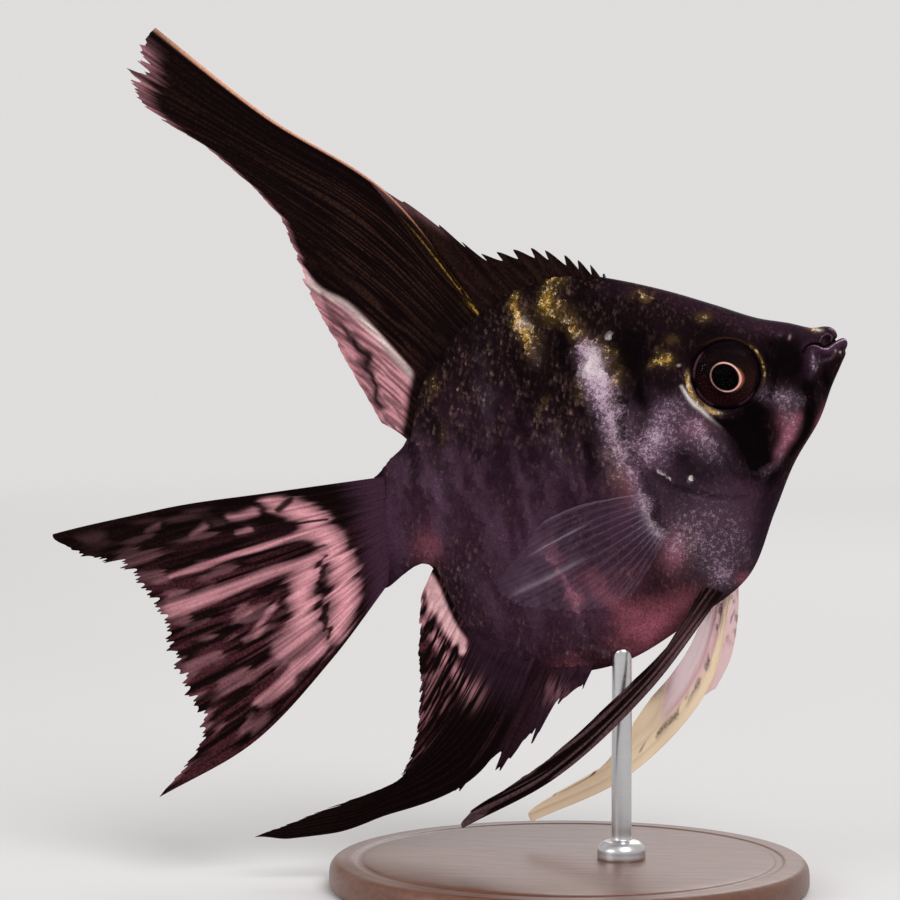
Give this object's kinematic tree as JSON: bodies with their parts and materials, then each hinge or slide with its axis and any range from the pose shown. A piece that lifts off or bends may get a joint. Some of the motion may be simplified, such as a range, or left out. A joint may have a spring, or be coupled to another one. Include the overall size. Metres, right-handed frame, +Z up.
{
  "type": "freshwater angelfish",
  "caption": "Still life-size angelfish with tall swept fins and thread-like pelvic fins, swimming with its nose raised, on a round base with one thin rod.",
  "frame": {"origin": "under the middle of the model's box, on the surface that the stand rests on", "axes": "+X towards the fish's mouth, +Y towards its left side, +Z up"},
  "size_m": [0.1004, 0.06, 0.1076],
  "materials": {
    "skin": "wet scaled skin, black with violet, silver and gold marks",
    "dark_fin": "thin rayed membrane, black-brown with pale pink bands",
    "pale_fin": "thin rayed membrane, cream with dark spots",
    "clear_fin": "thin clear rayed membrane, faint violet",
    "eye": "wet gloss, black iris and pupil with a thin pink ring",
    "wood": "satin varnished cherry",
    "steel": "brushed"
  },
  "bodies": {
    "root": {"head": "skin", "upper_jaw": "skin", "lower_jaw": "skin", "gill_cover_right": "skin", "gill_cover_left": "skin", "trunk": "skin", "tail_stalk": "skin", "eye_right": "eye", "eye_left": "eye", "dorsal_fin": "dark_fin", "anal_fin": "dark_fin", "tail_fin": "dark_fin", "pectoral_fin_right": "clear_fin", "pectoral_fin_left": "clear_fin", "pelvic_fin_right": "dark_fin", "pelvic_fin_left": "pale_fin", "stand_base": "wood", "stand_rod": "steel"}
  },
  "joints": []
}
